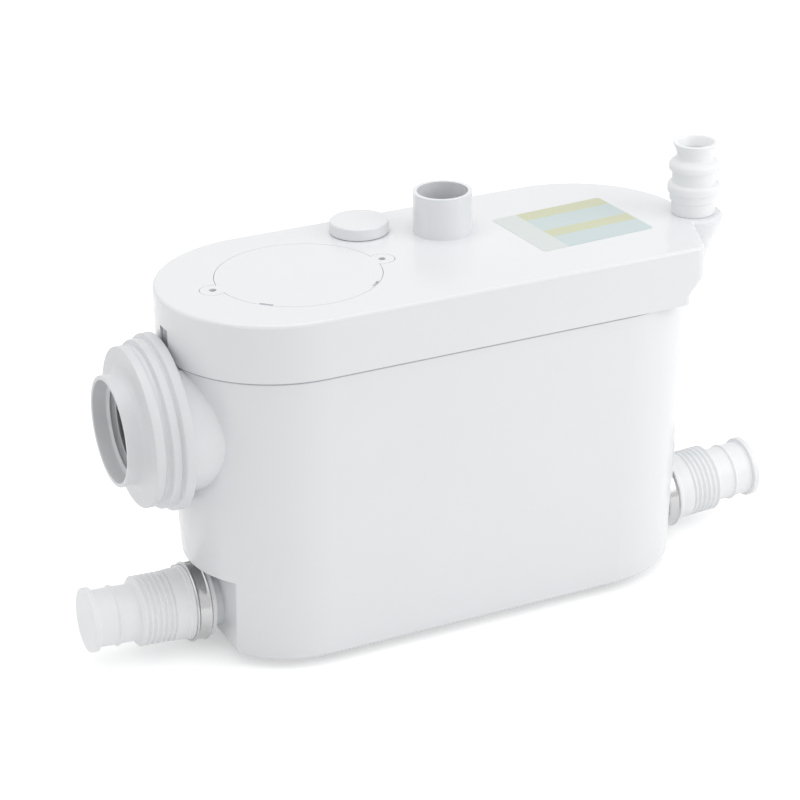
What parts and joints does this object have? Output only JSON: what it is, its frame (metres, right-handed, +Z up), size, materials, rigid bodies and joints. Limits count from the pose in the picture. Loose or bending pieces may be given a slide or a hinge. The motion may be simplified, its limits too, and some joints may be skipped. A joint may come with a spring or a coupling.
{
  "type": "macerator toilet pump",
  "caption": "Upright tank with half-round ends and a deep lid, a high toilet inlet, a low waste inlet at each end, a discharge outlet on the lid, and the motor, cutter, basket and pump inside.",
  "frame": {"origin": "on the floor, below the middle of the whole part, 5 mm behind the middle of the tank", "axes": "+X along the tank from the toilet inlet to the discharge, +Y to the wall behind, +Z up"},
  "size_m": [0.5464, 0.182, 0.323],
  "materials": {
    "housing_white": "glossy white moulded plastic",
    "rubber_white": "smooth white rubber",
    "rubber_black": "black rubber",
    "stainless": "brushed stainless steel",
    "carbon": "pressed charcoal",
    "inner_plastic": "grey moulded plastic",
    "motor_metal": "cast and drawn aluminium",
    "copper": "varnished copper wire",
    "seal_black": "dark seal face",
    "electric_black": "black electrical plastic"
  },
  "bodies": {
    "housing": {"tank": "housing_white", "rubber_feet": "rubber_black", "lid": "housing_white", "lid_gasket": "rubber_black", "service_cover": "housing_white", "service_cover_seal": "rubber_black", "service_cover_screws": "stainless", "vent_cap": "housing_white", "carbon_filter": "carbon", "toilet_connector": "rubber_white", "left_waste_connector": "rubber_white", "right_waste_connector": "rubber_white", "clamp_bands": "stainless", "clamp_housings": "stainless", "clamp_screws": "stainless", "discharge_connector": "rubber_white", "left_valve_seat": "inner_plastic", "right_valve_seat": "inner_plastic", "discharge_valve_seat": "inner_plastic", "valve_base": "inner_plastic", "valve_chamber": "inner_plastic", "discharge_hose": "rubber_black", "hose_clips": "stainless", "pump_cover": "inner_plastic", "pump_base": "inner_plastic", "tie_rods": "stainless", "tie_rod_nuts": "stainless", "tie_rod_sleeves": "stainless", "basket": "inner_plastic", "motor_bottom_bell": "motor_metal", "motor_can": "motor_metal", "motor_top_bell": "motor_metal", "motor_screws": "stainless", "stator_core": "stainless", "stator_windings": "copper", "motor_bearings": "stainless", "shaft_seal": "seal_black", "electrics_box": "inner_plastic", "electrics_box_screws": "stainless", "capacitor": "electric_black", "terminal_block": "electric_black", "pressure_tube": "inner_plastic", "diaphragm": "rubber_black", "diaphragm_cover": "inner_plastic", "plunger_spring": "stainless", "microswitch": "electric_black", "cable_gland": "electric_black", "cable_gland_nut": "electric_black"},
    "rotor": {"shaft": "stainless", "rotor_core": "stainless", "seal_rotor": "seal_black", "spacer": "stainless", "impeller": "inner_plastic", "impeller_nut": "stainless", "cutter": "stainless"},
    "left_flap": {"left_valve_flap": "rubber_black"},
    "right_flap": {"right_valve_flap": "rubber_black"},
    "discharge_flap": {"discharge_valve_flap": "rubber_black"},
    "level_plunger": {"plunger": "inner_plastic"},
    "switch_button": {"microswitch_button": "electric_black"}
  },
  "joints": [
    {"name": "rotor_spin", "type": "hinge", "parent": "housing", "child": "rotor", "pos_m": [0.02, -0.005, 0.104], "axis": [0, 0, 1], "continuous": true},
    {"name": "left_flap_swing", "type": "hinge", "parent": "housing", "child": "left_flap", "pos_m": [-0.20493, -0.005, 0.04793], "axis": [0, -1, 0], "range_deg": [0, 60]},
    {"name": "right_flap_swing", "type": "hinge", "parent": "housing", "child": "right_flap", "pos_m": [0.20493, -0.005, 0.04793], "axis": [0, 1, 0], "range_deg": [0, 60]},
    {"name": "discharge_flap_swing", "type": "hinge", "parent": "housing", "child": "discharge_flap", "pos_m": [0.1639, -0.035, 0.1943], "axis": [0, 1, 0], "range_deg": [0, 60]},
    {"name": "level_rise", "type": "slide", "parent": "housing", "child": "level_plunger", "axis": [0, 0, 1], "range_m": [0, 0.002], "stiffness_N_per_m": 400, "springref_m": -0.002, "deforming": ["plunger_spring", "diaphragm"]},
    {"name": "button_press", "type": "slide", "parent": "housing", "child": "switch_button", "axis": [0, 0, 1], "range_m": [0, 0.002]}
  ],
  "couplings": [
    {"joint": "button_press", "follows": "level_rise", "ratio": 1}
  ]
}
